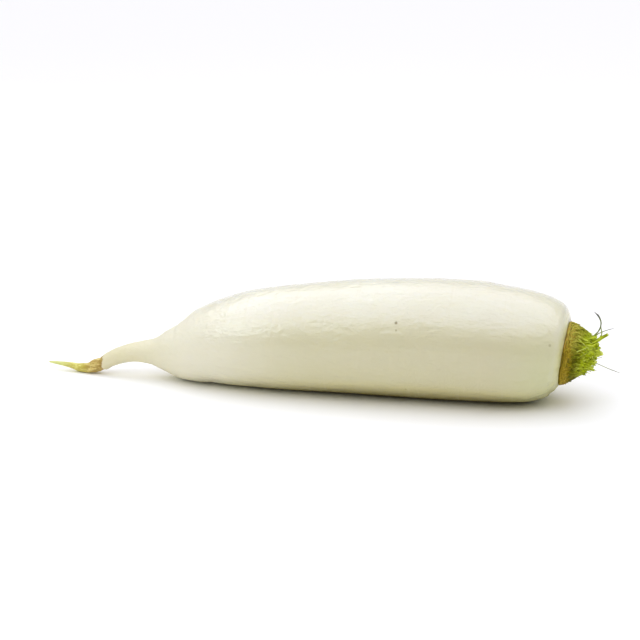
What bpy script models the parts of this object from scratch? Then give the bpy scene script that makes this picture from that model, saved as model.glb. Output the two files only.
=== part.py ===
"""A white radish lying on its belly: the swollen root with its tail, the corky collar of leaf scars at
its crown, and the bunch of trimmed leaf stalks that stands on the collar.

Metres, +Z up. The root lies along X with its crown towards +X, and rests on a narrow flat at Z = 0.
"""

import math
import random

import bmesh
import bpy
import numpy as np
from mathutils import Matrix, Vector

MM = 0.001

# Driving dimensions.
OVERALL_LENGTH = 320 * MM  # from the tip of the tail to the end of the longest fibre
TIP_X = -OVERALL_LENGTH / 2
FLAT_DEPTH = 0.6 * MM  # how much of the belly the resting flat takes off
SURFACE_BLOCK = (1.0, 0.4, 0.1)  # the block under Z = 0 that cuts the flat, wider than the radish
PIECE_GAP = 0.3 * MM  # left between one piece and the next
SLIVER = 0.003 * MM  # points of a joined mesh that are nearer than this are one point

# The root from tail to crown: distance from the tip, height of its middle, radius, in millimetres.
ROOT_STATIONS = (
    (0.0, 4.2, 0.45),
    (7.0, 3.9, 1.1),
    (13.0, 3.4, 1.65),
    (19.0, 2.5, 2.4),
    (24.0, 2.9, 2.85),
    (28.5, 4.0, 3.2),
    (31.8, 5.3, 3.05),
    (33.0, 6.0, 3.75),
    (37.0, 8.8, 4.2),
    (44.0, 12.0, 4.75),
    (53.0, 14.3, 5.65),
    (61.5, 15.0, 7.1),
    (67.0, 15.1, 9.3),
    (72.5, 15.5, 12.1),
    (78.5, 16.2, 15.2),
    (85.5, 18.2, 18.6),
    (95.0, 21.6, 21.7),
    (107.0, 24.4, 24.7),
    (126.0, 27.4, 27.6),
    (158.0, 30.0, 30.0),
    (207.0, 32.2, 32.3),
    (240.0, 32.5, 32.7),
    (259.0, 31.6, 31.7),
    (271.0, 30.5, 30.0),
    (279.0, 30.1, 27.5),
    (284.5, 29.75, 24.9),
    (287.7, 29.4, 21.6),
    (289.2, 29.24, 18.9),
    (289.8, 29.18, 17.2),
)
ROOT_RING_STEP = 5.5  # the widest spacing of the root's rings, in millimetres
ROOT_BEVEL_RESOLUTION = 17  # gives 38 sides
TAIL_SWING_FROM = 62.0  # the tail swings to the far side from here to the tip, in millimetres
TAIL_SWING = 3.5
CROWN_SWING_FROM = 268.0  # the crown turns to the near side from here
CROWN_SWING = 1.3
LUMP_SHARE = 0.010  # how far the root is from round, as a share of its radius
LUMPS_FADE = 20 * MM  # the lumps fade out over this length before the crown

# The crown, measured from the middle of the root's end face along its own axis.
CROWN_LEAN = 0.17  # the collar and the bunch lean back up by this much for each metre out
CROWN_DROP = 0.8 * MM  # the foot of the collar sits this much below the middle of the root's end
COLLAR_BASE_RADIUS = 17.4 * MM
COLLAR_TOP_RADIUS = 14.8 * MM
COLLAR_BULGE = 1.6  # above 1, the collar narrows late, like a cushion
COLLAR_HEIGHT = 5.4 * MM
COLLAR_TIERS = 4  # rows of leaf scars
COLLAR_TIER_DEPTH = 0.35 * MM
COLLAR_SCARS = 13  # scars round each row
COLLAR_STEPS = 52

CORE_RADIUS = 13.4 * MM
CORE_HEIGHT = 9.6 * MM
CORE_RINGS = 5
CORE_STEPS = 24

STALK_COUNT = 80
STALK_SIDES = 6
STALK_SUNK = 3.4 * MM  # how deep a stalk's foot goes into the core
STALK_FOOT_CLEARANCE = 0.9 * MM  # no stalk starts lower than this above the foot of the bunch
STALK_TOP_HEIGHT = 9.0 * MM  # where the innermost stalk starts
GOLDEN_ANGLE = math.radians(137.508)
STALK_SEED = 11

# Each pair runs from the outermost stalk to the innermost.
STALK_LENGTHS = (3.0 * MM, 7.2 * MM)
STALK_WIDTHS = (4.3 * MM, 1.9 * MM)
STALK_FLATNESS = (0.55, 0.85)  # thickness as a share of width
STALK_TAPERS = (0.55, 0.80)  # width at the cut as a share of width at the foot
STALK_SPLAYS = (-0.04, 0.21)  # lean away from the axis

# Stalks and fibres that the photograph shows one by one: (out, up, near side) in millimetres from the
# middle of the crown's base.
LONG_STALKS = (
    # foot, tip, width
    ((9.4, 6.0, 2.6), (20.8, 12.3, 5.0), 2.1),
    ((9.6, 4.6, 3.6), (16.8, 9.5, 6.0), 1.5),
    ((9.0, 0.0, 3.0), (19.2, 3.5, 7.0), 3.4),
    ((8.8, -3.4, 3.6), (16.8, -1.8, 7.0), 2.2),
    ((9.0, -5.6, 2.6), (18.0, -7.5, 6.0), 1.5),
    ((9.4, -2.6, 4.0), (15.3, -4.0, 8.0), 1.9),
    ((8.4, -8.2, 3.0), (12.6, -10.2, 5.0), 2.0),
)
FIBRE_RADIUS = 0.35 * MM
FIBRES = (
    # The loop that curls up and back.
    (
        (12.1, 9.0, 3.0),
        (13.8, 11.6, 3.1),
        (15.6, 14.0, 3.3),
        (16.4, 17.0, 3.5),
        (16.1, 20.0, 3.6),
        (14.8, 22.5, 3.4),
        (11.9, 24.8, 3.0),
    ),
    # The straight one above the longest stalk.
    ((12.0, 8.4, 2.0), (14.6, 11.2, 2.0), (18.4, 13.6, 2.0), (23.7, 15.6, 2.0)),
    # The long thin one that points out and a little down.
    ((11.4, -1.9, 4.6), (16.9, -3.4, 5.0), (24.0, -6.3, 5.0), (31.4, -8.9, 5.0)),
)

SKIN = ("radish_skin", (0.86, 0.84, 0.72, 1.0), 0.34)
CORK = ("radish_cork", (0.36, 0.27, 0.07, 1.0), 0.75)
STALK = ("radish_stalk", (0.42, 0.52, 0.08, 1.0), 0.5)


def clear_scene():
    for thing in list(bpy.data.objects):
        bpy.data.objects.remove(thing)


def collection_named(name):
    made = bpy.data.collections.new(name)
    bpy.context.scene.collection.children.link(made)
    return made


def material(name, colour, roughness):
    made = bpy.data.materials.new(name)
    made.use_nodes = True
    shader = made.node_tree.nodes["Principled BSDF"]
    shader.inputs["Base Color"].default_value = colour
    shader.inputs["Roughness"].default_value = roughness
    shader.inputs["Metallic"].default_value = 0.0
    made.diffuse_color = colour
    return made


def object_of(mesh, name, collection):
    made = bpy.data.objects.new(name, mesh)
    collection.objects.link(made)
    return made


def mesh_of(thing, name, weld=0.01 * MM):
    """The evaluated mesh of an object, with its loose caps welded on and the object itself removed."""
    bpy.context.view_layer.update()
    evaluated = thing.evaluated_get(bpy.context.evaluated_depsgraph_get())
    mesh = bpy.data.meshes.new_from_object(evaluated)
    mesh.transform(thing.matrix_world)
    mesh.name = name
    bm = bmesh.new()
    bm.from_mesh(mesh)
    bmesh.ops.remove_doubles(bm, verts=bm.verts, dist=weld)
    bmesh.ops.recalc_face_normals(bm, faces=bm.faces)
    bm.to_mesh(mesh)
    bm.free()
    bpy.data.objects.remove(thing)
    return mesh


def keep_largest(mesh):
    """Fill the specks of air shut in between joined stalks: only the outer skin is kept."""
    bm = bmesh.new()
    bm.from_mesh(mesh)
    bmesh.ops.remove_doubles(bm, verts=bm.verts, dist=SLIVER)
    unseen, islands = set(bm.verts), []
    while unseen:
        island, edge_of_it = set(), [next(iter(unseen))]
        while edge_of_it:
            vertex = edge_of_it.pop()
            if vertex in unseen:
                unseen.discard(vertex)
                island.add(vertex)
                edge_of_it.extend(edge.other_vert(vertex) for edge in vertex.link_edges)
        islands.append(island)
    islands.sort(key=len)
    bmesh.ops.delete(bm, geom=[vertex for island in islands[:-1] for vertex in island], context="VERTS")
    bm.to_mesh(mesh)
    bm.free()


def blend(pair, share):
    """The value this share of the way from the pair's first to its second."""
    return pair[0] + (pair[1] - pair[0]) * share


def smooth_through(at, known_at, known):
    """A curve through the known values that never overshoots them: cubic pieces with limited slopes."""
    known_at, known = np.array(known_at, float), np.array(known, float)
    step = np.diff(known_at)
    rise = np.diff(known) / step
    slope = np.empty_like(known)
    slope[0], slope[-1] = rise[0], rise[-1]
    for i in range(1, len(known) - 1):
        same_way = rise[i - 1] * rise[i] > 0
        slope[i] = 2 * rise[i - 1] * rise[i] / (rise[i - 1] + rise[i]) if same_way else 0.0
    i = np.clip(np.searchsorted(known_at, at) - 1, 0, len(step) - 1)
    t = (at - known_at[i]) / step[i]
    return (
        known[i] * (1 + 2 * t) * (1 - t) ** 2
        + known[i + 1] * t * t * (3 - 2 * t)
        + slope[i] * step[i] * t * (1 - t) ** 2
        - slope[i + 1] * step[i] * t * t * (1 - t)
    )


def swing(distance):
    """How far the root's middle stands to the far side, in millimetres, at this distance from the tip."""
    tail = np.clip((TAIL_SWING_FROM - distance) / TAIL_SWING_FROM, 0, 1)
    crown = np.clip((distance - CROWN_SWING_FROM) / (ROOT_STATIONS[-1][0] - CROWN_SWING_FROM), 0, 1)
    return TAIL_SWING * tail**2 - CROWN_SWING * crown**2


def root_line():
    """The root's rings from tip to crown: the middle of each as a point, and its radius, in metres."""
    known_at, heights, radii = zip(*ROOT_STATIONS)
    at = [known_at[0]]
    for start, end in zip(known_at, known_at[1:]):
        pieces = math.ceil((end - start) / ROOT_RING_STEP)
        at.extend(start + (end - start) * (k + 1) / pieces for k in range(pieces))
    at = np.array(at)
    lowered = smooth_through(at, (0, 60, 90, known_at[-1]), (0, 0, 1, 1))
    z = smooth_through(at, known_at, heights) * MM - FLAT_DEPTH * lowered
    r = smooth_through(at, known_at, radii) * MM
    points = [Vector((TIP_X + a * MM, swing(a) * MM, height)) for a, height in zip(at, z)]
    return points, r


def swept(points, radii, name, collection, bevel_resolution):
    """A tube along the points that swells and narrows with the radii."""
    data = bpy.data.curves.new(name, "CURVE")
    data.dimensions = "3D"
    data.bevel_depth = 1.0
    data.bevel_resolution = bevel_resolution
    data.use_fill_caps = True
    data.twist_mode = "Z_UP"
    line = data.splines.new("POLY")
    line.points.add(len(points) - 1)
    for spot, point, radius in zip(line.points, points, radii):
        spot.co = (*point, 1.0)
        spot.radius = radius
    return object_of(data, name, collection)


def lump(x, angle):
    """How far the skin stands off round, from -1 to 1, by the place along X in metres and the angle."""
    wave = 2 * math.pi * x
    return (
        0.5 * math.sin(2 * angle + wave / 0.19)
        + 0.3 * math.sin(3 * angle - wave / 0.11 + 1.3)
        + 0.2 * math.sin(angle + wave / 0.055 + 0.4)
    )


def make_root(collection, cutters):
    points, radii = root_line()
    mesh = mesh_of(swept(points, radii, "root_sweep", collection, ROOT_BEVEL_RESOLUTION), "root")
    middles = np.array([tuple(p) for p in points])
    for vertex in mesh.vertices:
        x = min(max(vertex.co.x, middles[0, 0]), middles[-1, 0])
        y, z = (np.interp(x, middles[:, 0], middles[:, axis]) for axis in (1, 2))
        out = vertex.co - Vector((x, y, z))
        angle = math.atan2(out.y, out.z)
        end = min(1.0, (middles[-1, 0] - x) / LUMPS_FADE)
        vertex.co += out * LUMP_SHARE * end * lump(vertex.co.x, angle)
    mesh.shade_smooth()
    root = object_of(mesh, "root", collection)
    bpy.ops.mesh.primitive_cube_add(size=1.0, location=(0, 0, -SURFACE_BLOCK[2] / 2))
    floor = bpy.context.object
    floor.name = "surface_below"
    floor.data.transform(Matrix.Diagonal((*SURFACE_BLOCK, 1.0)))
    for home in list(floor.users_collection):
        home.objects.unlink(floor)
    cutters.objects.link(floor)
    floor.hide_render = True
    floor.display_type = "WIRE"
    cut = root.modifiers.new("resting_flat", "BOOLEAN")
    cut.operation = "DIFFERENCE"
    cut.object = floor
    return root


def crown_matrix():
    """From the crown's own space, with Z out along its axis and X up, to the object's."""
    points, _ = root_line()
    out = (points[-1] - points[-2]).normalized()
    near = out.cross(Vector((0, 0, 1))).normalized()
    turn = Matrix((near.cross(out), near, out)).transposed().to_4x4()
    lean = Matrix.Identity(4)
    lean[0][2] = CROWN_LEAN
    return Matrix.Translation(points[-1]) @ turn @ Matrix.Translation((-CROWN_DROP, 0, 0)) @ lean


def crown_point(out, up, near):
    """A point in the crown's own space from distances out, up and to the near side, in millimetres."""
    return Vector((up, near, out)) * MM


def turned(profile, name, collection, steps):
    """A closed solid turned from (radius, height) points that run from the top down."""
    data = bpy.data.meshes.new(name)
    points = [(radius, 0, height) for radius, height in profile]
    data.from_pydata(points, [(i, i + 1) for i in range(len(points) - 1)], [])
    thing = object_of(data, name, collection)
    screw = thing.modifiers.new("turn", "SCREW")
    screw.axis = "Z"
    screw.steps = screw.render_steps = steps
    screw.use_merge_vertices = True
    screw.merge_threshold = 0.00001
    return mesh_of(thing, name)


def make_collar(collection, place):
    rows = 2 * COLLAR_TIERS
    profile = [(0.0, COLLAR_HEIGHT), (COLLAR_TOP_RADIUS * 0.5, COLLAR_HEIGHT)]
    for k in range(rows + 1):
        share = k / rows
        radius = blend((COLLAR_BASE_RADIUS, COLLAR_TOP_RADIUS), (1 - share) ** COLLAR_BULGE)
        ridge = COLLAR_TIER_DEPTH * (-1) ** k / 2
        profile.append((radius + ridge, COLLAR_HEIGHT * (1 - share)))
    profile.append((0.0, 0.0))
    mesh = turned(profile, "crown_collar", collection, COLLAR_STEPS)
    for vertex in mesh.vertices:
        radius = math.hypot(vertex.co.x, vertex.co.y)
        if radius < COLLAR_TOP_RADIUS * 0.9:
            continue
        tier = round(vertex.co.z / COLLAR_HEIGHT * COLLAR_TIERS)
        angle = math.atan2(vertex.co.y, vertex.co.x)
        bump = COLLAR_TIER_DEPTH * math.cos(COLLAR_SCARS * angle + tier * GOLDEN_ANGLE * COLLAR_SCARS) / 2
        vertex.co.x *= 1 + bump / radius
        vertex.co.y *= 1 + bump / radius
    mesh.transform(place @ Matrix.Translation((0, 0, PIECE_GAP)))
    mesh.shade_smooth()
    return object_of(mesh, "crown_collar", collection)


def core_radius(height):
    """The radius of the bunch's core at this height above the collar."""
    share = min(max(height / CORE_HEIGHT, 0.0), 1.0)
    return CORE_RADIUS * math.sqrt(1 - 0.93 * share**1.7)


def make_core(collection):
    profile = [(0.0, CORE_HEIGHT)]
    for k in range(CORE_RINGS + 1):
        height = CORE_HEIGHT * (1 - k / CORE_RINGS)
        profile.append((core_radius(height), height))
    profile.append((0.0, 0.0))
    return object_of(turned(profile, "stalk_core", collection, CORE_STEPS), "leaf_stalks", collection)


def stalk_between(base, tip, width, flatness, taper, bow, slant, name, collection):
    """One cut stalk: an oval tube that tapers, bows outwards and ends in a slanting cut."""
    along = tip - base
    length = along.length
    bm = bmesh.new()
    bmesh.ops.create_cone(
        bm, cap_ends=True, segments=STALK_SIDES, radius1=width / 2, radius2=width / 2 * taper, depth=length
    )
    sides = [e for e in bm.edges if abs(e.verts[0].co.z - e.verts[1].co.z) > length / 2]
    bmesh.ops.subdivide_edges(bm, edges=sides, cuts=1)
    for vertex in bm.verts:
        share = vertex.co.z / length + 0.5
        vertex.co.x = vertex.co.x * flatness
        if share > 0.99:
            vertex.co.z += slant * (vertex.co.x + vertex.co.y)
        vertex.co.x += bow * share * (1 - share) * 4
    mesh = bpy.data.meshes.new(name)
    bm.to_mesh(mesh)
    bm.free()
    z = along.normalized()
    away = Vector((base.x + tip.x, base.y + tip.y, 0))
    y = z.cross(away if away.length > 0.001 else Vector((1, 0, 0))).normalized()
    turn = Matrix((y.cross(z), y, z)).transposed().to_4x4()
    mesh.transform(Matrix.Translation((base + tip) / 2) @ turn)
    return object_of(mesh, name, collection)


def make_ranked_stalks(collection):
    """The bunch's stalks by rank, from the short outer scales to the young ones in the middle."""
    draw = random.Random(STALK_SEED)
    for k in range(STALK_COUNT):
        rank = (k + 0.5) / STALK_COUNT
        angle = k * GOLDEN_ANGLE + draw.uniform(-0.12, 0.12)
        height = blend((STALK_FOOT_CLEARANCE, STALK_TOP_HEIGHT), rank)
        radius = core_radius(height) * (1.0 - 0.75 * rank**3)
        radial = Vector((math.cos(angle), math.sin(angle), 0))
        splay = blend(STALK_SPLAYS, rank) + draw.uniform(-0.05, 0.05)
        direction = (radial * splay + Vector((0, 0, 1))).normalized()
        length = blend(STALK_LENGTHS, rank) * draw.uniform(0.75, 1.3)
        sunk = min(STALK_SUNK, (height - STALK_FOOT_CLEARANCE) / direction.z)
        width = blend(STALK_WIDTHS, rank) * draw.uniform(0.85, 1.15)
        surface = radial * (radius - width * 0.3) + Vector((0, 0, height))
        stalk_between(
            surface - direction * sunk,
            surface + direction * length,
            width,
            blend(STALK_FLATNESS, rank),
            blend(STALK_TAPERS, rank),
            MM * draw.uniform(0.0, 0.5),
            draw.uniform(-0.7, 0.7),
            f"stalk_{k}",
            collection,
        )


def above_collar(point):
    """A point of the crown's own space, measured from the foot of the bunch instead."""
    return point - Vector((0, 0, COLLAR_HEIGHT + 2 * PIECE_GAP))


def make_long_stalks(collection):
    for k, (base, tip, width) in enumerate(LONG_STALKS):
        stalk_between(
            above_collar(crown_point(*base)),
            above_collar(crown_point(*tip)),
            width * MM,
            0.8,
            0.9,
            0.4 * MM,
            0.3,
            f"long_stalk_{k}",
            collection,
        )


def make_fibres(collection):
    for k, route in enumerate(FIBRES):
        points = [above_collar(crown_point(*p)) for p in route]
        at = np.linspace(0, len(points) - 1, 2 * len(points) - 1)
        axes = [smooth_through(at, range(len(points)), [p[i] for p in points]) for i in range(3)]
        line = [Vector(p) for p in zip(*axes)]
        tube = swept(line, [FIBRE_RADIUS] * len(line), f"fibre_{k}", collection, 1)
        mesh = mesh_of(tube, f"fibre_{k}")
        object_of(mesh, f"fibre_{k}", collection)


def make_leaf_stalks(collection, place):
    core = make_core(collection)
    pieces = collection_named("stalk_pieces")
    make_ranked_stalks(pieces)
    make_long_stalks(pieces)
    make_fibres(pieces)
    join = core.modifiers.new("grown_together", "BOOLEAN")
    join.operation = "UNION"
    join.operand_type = "COLLECTION"
    join.collection = pieces
    join.solver = "EXACT"
    bpy.context.view_layer.update()
    joined = bpy.data.meshes.new_from_object(core.evaluated_get(bpy.context.evaluated_depsgraph_get()))
    core.modifiers.clear()
    core.data = joined
    for piece in list(pieces.objects):
        bpy.data.objects.remove(piece)
    bpy.data.collections.remove(pieces)
    keep_largest(joined)
    joined.name = "leaf_stalks"
    joined.transform(place @ Matrix.Translation((0, 0, COLLAR_HEIGHT + 2 * PIECE_GAP)))
    joined.shade_smooth()
    joined.set_sharp_from_angle(angle=math.radians(35))
    return core


def main():
    clear_scene()
    radish = collection_named("white_radish")
    cutters = collection_named("cutters")
    root = make_root(radish, cutters)
    place = crown_matrix()
    collar = make_collar(radish, place)
    stalks = make_leaf_stalks(radish, place)
    for thing, finish in ((root, SKIN), (collar, CORK), (stalks, STALK)):
        thing.data.materials.clear()
        thing.data.materials.append(material(*finish))


main()
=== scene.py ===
"""The looks of a white radish lying on its belly: root, corky collar and trimmed leaf stalks."""

import math
import random

import bpy
import numpy as np
from mathutils import Matrix, Vector, noise


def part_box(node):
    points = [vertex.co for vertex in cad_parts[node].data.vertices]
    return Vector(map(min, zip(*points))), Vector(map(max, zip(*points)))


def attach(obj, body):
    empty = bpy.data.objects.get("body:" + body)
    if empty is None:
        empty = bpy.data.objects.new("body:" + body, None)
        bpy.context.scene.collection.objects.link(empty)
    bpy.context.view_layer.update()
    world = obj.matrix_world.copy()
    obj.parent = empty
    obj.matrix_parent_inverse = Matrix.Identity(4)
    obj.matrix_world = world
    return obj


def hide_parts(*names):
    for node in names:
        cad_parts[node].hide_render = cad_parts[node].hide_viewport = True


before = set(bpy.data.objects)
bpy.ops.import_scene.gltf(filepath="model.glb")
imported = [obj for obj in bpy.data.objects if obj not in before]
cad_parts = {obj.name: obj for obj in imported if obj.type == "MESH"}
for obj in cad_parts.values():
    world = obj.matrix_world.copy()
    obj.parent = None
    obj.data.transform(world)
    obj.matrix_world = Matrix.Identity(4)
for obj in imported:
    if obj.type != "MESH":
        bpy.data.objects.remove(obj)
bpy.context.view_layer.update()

MM = 0.001
GOLDEN_ANGLE = math.radians(137.508)

TIP_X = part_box("root")[0][0] + 0.00005
FLAT_DEPTH = 0.6 * MM

# The root from tail to crown: distance from the tip, height of its middle, radius, in millimetres.
ROOT_STATIONS = (
    (0.0, 4.2, 0.45),
    (7.0, 3.9, 1.1),
    (13.0, 3.4, 1.65),
    (19.0, 2.5, 2.4),
    (24.0, 2.9, 2.85),
    (28.5, 4.0, 3.2),
    (31.8, 5.3, 3.05),
    (33.0, 6.0, 3.75),
    (37.0, 8.8, 4.2),
    (44.0, 12.0, 4.75),
    (53.0, 14.3, 5.65),
    (61.5, 15.0, 7.1),
    (67.0, 15.1, 9.3),
    (72.5, 15.5, 12.1),
    (78.5, 16.2, 15.2),
    (85.5, 18.2, 18.6),
    (95.0, 21.6, 21.7),
    (107.0, 24.4, 24.7),
    (126.0, 27.4, 27.6),
    (158.0, 30.0, 30.0),
    (207.0, 32.2, 32.3),
    (240.0, 32.5, 32.7),
    (259.0, 31.6, 31.7),
    (271.0, 30.5, 30.0),
    (279.0, 30.1, 27.5),
    (284.5, 29.75, 24.9),
    (287.7, 29.4, 21.6),
    (289.2, 29.24, 18.9),
    (289.8, 29.18, 17.2),
)
ROOT_END = ROOT_STATIONS[-1][0]
TAIL_SWING_FROM, TAIL_SWING = 62.0, 3.5
CROWN_SWING_FROM, CROWN_SWING = 268.0, 1.3
LUMP_SHARE = 0.010
LUMPS_FADE = 20 * MM
ROOT_SIDES = 224
TIP_ROUNDING = 0.2 * MM

# How finely the root is ringed: from and to these distances from the tip, the most between two rings.
RING_STRETCHES = (
    (0, 24, 0.9),
    (24, 36, 0.35),
    (36, 62, 0.8),
    (62, 268, 1.15),
    (268, 284, 0.8),
    (284, ROOT_END, 0.3),
)
# How far the upper outline swells, in mm, and where: it starts, is full, fades and ends, from the tip.
# The dry skin of the tail, the neck and the shoulder are fuller, and two stretches of the body flatter.
OUTLINE_SWELLS = (
    (0.9, 23.5, 27.5, 31.5, 33),
    (1.2, 62, 70, 74, 81),
    (-0.8, 79, 85, 88, 96),
    (-0.5, 244, 254, 262, 272),
    (0.9, 270, 281, 284, 289),
)
# Small brown pits in the skin: along X, to the near side and up, in millimetres, their radius and darkness.
PITS = (
    ((41.9, -27.3, 48.4), 0.75, 0.8),
    ((42.2, -29.2, 44.9), 0.55, 0.5),
    ((47.2, -24.4, 10.7), 0.60, 0.35),
    ((121.8, -24.3, 39.5), 0.75, 0.35),
)

CROWN_LEAN = 0.17
CROWN_DROP = 0.8 * MM
COLLAR_BASE_RADIUS = 17.4 * MM
COLLAR_TOP_RADIUS = 14.8 * MM
COLLAR_BULGE = 1.6
COLLAR_HEIGHT = 5.4 * MM
COLLAR_OVERLAP = 0.9 * MM
COLLAR_SCARS = 46
# The streaks of the cork are laid out on a strip so many units long round the collar and one unit high.
CORK_STRIP = 36
PIECE_GAP = 0.3 * MM

BUNCH_FOOT = COLLAR_HEIGHT + 2 * PIECE_GAP
DOME_RADIUS = 13.4 * MM
DOME_HEIGHT = 6.6 * MM
DOME_SINK = 1.6 * MM
# The slope of the whole bunch, which runs on from the collar's: height above its foot, radius, in mm.
FLANK = (
    (-6, 17.6),
    (-4.5, 17.4),
    (-3, 16.8),
    (-1.7, 15.8),
    (0, 14.4),
    (2.2, 12.8),
    (4.5, 11.4),
    (7, 9.6),
    (9.6, 7.4),
)
# The stalks' colours change over this stretch of the height above the foot of the bunch.
RISE_FROM, RISE_SPAN = -4 * MM, 14 * MM
# Where the trimming stopped the stalks, in mm: so far out everywhere, and further near one height.
TRIM_REACH, TRIM_PEAK, TRIM_PEAK_UP, TRIM_PEAK_SPREAD = 9.2, 2.4, 0.5, 5.0
SCALE_COUNT = 480
SHRED_COUNT = 600
SLOPE_SHARE = 0.72
RANKED_COUNT = 165
RANKED_RADIUS = 11.6 * MM

# Places on the crown are (out along its axis, up, to the near side) in millimetres.
# The longest stalks: foot, tip, width, paleness, how dry the tip is.
LONG_STALKS = (
    ((9.0, 3.0, 1.6), (20.9, 13.1, 5.6), 2.5, 0.45, 0.7),
    ((8.1, 7.7, 3.0), (15.6, 11.5, 5.0), 1.8, 0.55, 0.0),
    ((9.0, -0.5, 3.0), (19.6, 3.1, 7.0), 3.2, 0.75, 0.2),
    ((8.8, -3.4, 3.6), (16.8, -1.8, 7.0), 2.2, 0.55, 0.0),
    ((9.0, -5.6, 2.6), (17.2, -7.2, 6.0), 1.4, 0.5, 0.0),
    ((9.4, -2.6, 4.0), (15.3, -4.0, 8.0), 1.8, 0.6, 0.0),
    ((8.4, -8.2, 3.0), (12.6, -10.2, 5.0), 1.8, 0.1, 0.4),
)
# The longest torn leaves: foot, tip, width, paleness, how dry the tip is.
LEAVES = (
    ((9.8, 5.2, 5.0), (17.6, 11.0, 6.5), 0.8, 1.0, 0.0),
    ((11.0, 1.6, 5.0), (15.4, 7.9, 8.5), 1.5, 0.8, 0.0),
    ((11.0, 1.2, 4.4), (18.9, 5.7, 8.0), 1.7, 0.9, 0.3),
    ((10.4, -1.0, 4.4), (20.4, 2.1, 8.0), 1.6, 0.9, 0.5),
    ((10.8, -0.9, 5.0), (17.2, -1.0, 8.4), 1.4, 0.8, 0.0),
    ((10.0, -2.4, 5.4), (16.4, -3.7, 8.2), 1.2, 0.6, 0.2),
    ((9.0, -3.2, 5.6), (18.3, -7.1, 7.2), 1.9, 1.0, 0.9),
    ((8.6, -5.4, 4.6), (15.6, -8.4, 6.0), 1.7, 0.5, 0.4),
    ((7.4, -6.4, 5.4), (13.3, -10.6, 6.2), 1.8, 0.4, 1.0),
    ((5.8, -8.6, 4.4), (9.9, -12.2, 5.2), 1.6, 0.1, 1.0),
    ((10.0, -4.3, 6.0), (15.6, -5.1, 9.2), 1.1, 0.9, 0.0),
    ((1.4, 16.0, 0.0), (6.4, 14.4, 0.0), 2.2, 0.5, 0.0),
    ((3.8, 14.6, 1.0), (10.0, 11.7, 1.2), 2.6, 0.4, 0.0),
    ((6.4, 12.6, 1.2), (13.2, 10.2, 2.2), 2.4, 0.5, 0.3),
    ((3.4, 14.2, 5.0), (9.2, 11.9, 6.2), 2.2, 0.3, 0.0),
    ((5.7, 12.4, 7.0), (11.6, 10.0, 8.2), 1.8, 0.6, 0.0),
    ((6.3, 8.9, 10.2), (11.3, 6.4, 10.4), 1.4, 0.5, 0.0),
    ((7.0, 0.0, 11.6), (12.4, -1.6, 11.4), 1.5, 0.4, 0.0),
    ((8.0, -1.0, 10.0), (13.6, 0.9, 11.6), 1.0, 0.9, 0.0),
    ((6.4, -6.0, 9.6), (11.8, -8.2, 10.0), 1.5, 0.6, 0.3),
    ((10.4, 4.2, 6.5), (15.9, 9.0, 9.0), 1.3, 1.0, 0.0),
    ((9.4, 7.0, 7.5), (14.9, 8.2, 10.0), 1.1, 1.0, 0.0),
)
# The fibres: radius at the foot and at the tip, how dark it dries towards its tip, and its route.
FIBRES = (
    (
        (0.34, 0.44, 1.0),
        (10.6, 7.0, 2.8),
        (12.2, 9.4, 3.6),
        (14.1, 12.2, 4.6),
        (15.8, 14.6, 5.2),
        (16.6, 17.3, 5.0),
        (16.4, 19.2, 4.2),
        (15.5, 20.9, 3.2),
        (14.1, 22.7, 2.6),
        (11.8, 24.6, 2.4),
    ),
    (
        (0.34, 0.26, 0.4),
        (17.2, 11.0, 4.2),
        (17.7, 13.0, 4.0),
        (17.0, 15.4, 3.7),
        (16.4, 17.2, 3.6),
    ),
    (
        (0.42, 0.18, 0.8),
        (10.6, 7.2, 2.0),
        (12.6, 9.6, 2.0),
        (15.4, 12.0, 2.0),
        (19.4, 14.1, 2.0),
        (23.7, 15.6, 2.0),
    ),
    (
        (0.30, 0.16, 0.55),
        (10.4, -1.4, 4.4),
        (13.0, -2.3, 4.9),
        (16.9, -3.3, 5.0),
        (24.0, -6.2, 5.0),
        (31.4, -8.9, 5.0),
    ),
    (
        (0.18, 0.12, 0.9),
        (15.6, 4.0, 6.4),
        (16.6, 5.2, 6.5),
        (17.6, 7.9, 6.1),
    ),
    (
        (0.34, 0.22, 0.0),
        (7.1, 5.4, 13.2),
        (8.6, 6.3, 13.2),
        (10.5, 7.0, 12.6),
        (12.4, 7.6, 11.0),
    ),
    (
        (0.27, 0.20, 0.0),
        (7.0, 12.2, 12.0),
        (8.9, 10.5, 12.2),
        (11.2, 8.2, 11.6),
        (12.8, 6.3, 10.4),
        (13.9, 4.7, 9.0),
    ),
    (
        (0.26, 0.18, 0.0),
        (9.0, 2.4, 11.4),
        (10.8, 3.2, 11.0),
        (13.2, 4.6, 9.6),
        (15.8, 6.4, 8.2),
    ),
    (
        (0.16, 0.10, 0.5),
        (17.4, 1.6, 6.8),
        (18.8, 0.9, 7.4),
        (20.4, 0.7, 7.8),
    ),
)
RINGS_PER_FIBRE_POINT = 10
FIBRE_SIDES = 10

# Each lamp: its name, size, power, colour, place, and the point that it faces, in metres.
LAMPS = (
    ("left_fill", (0.25, 0.25), 0.70, (0.82, 0.90, 1.00), (-0.33, -0.34, 0.30), (-0.08, 0.0, 0.03)),
    ("front", (1.20, 0.30), 0.40, (1.00, 0.85, 0.60), (0.12, -0.95, 0.55), (0.0, 0.0, 0.03)),
    ("back", (1.20, 0.30), 0.85, (0.90, 0.92, 1.00), (0.05, 0.85, 0.22), (0.0, 0.0, 0.03)),
    ("above_left", (0.90, 0.30), 0.62, (1.00, 1.00, 1.00), (-0.42, 0.33, 0.66), (0.06, 0.0, 0.05)),
    ("right", (0.40, 0.40), 0.55, (0.88, 0.86, 1.00), (0.70, 0.0, 0.35), (0.10, 0.0, 0.03)),
)
SKY_STRENGTH = 3.95
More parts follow.
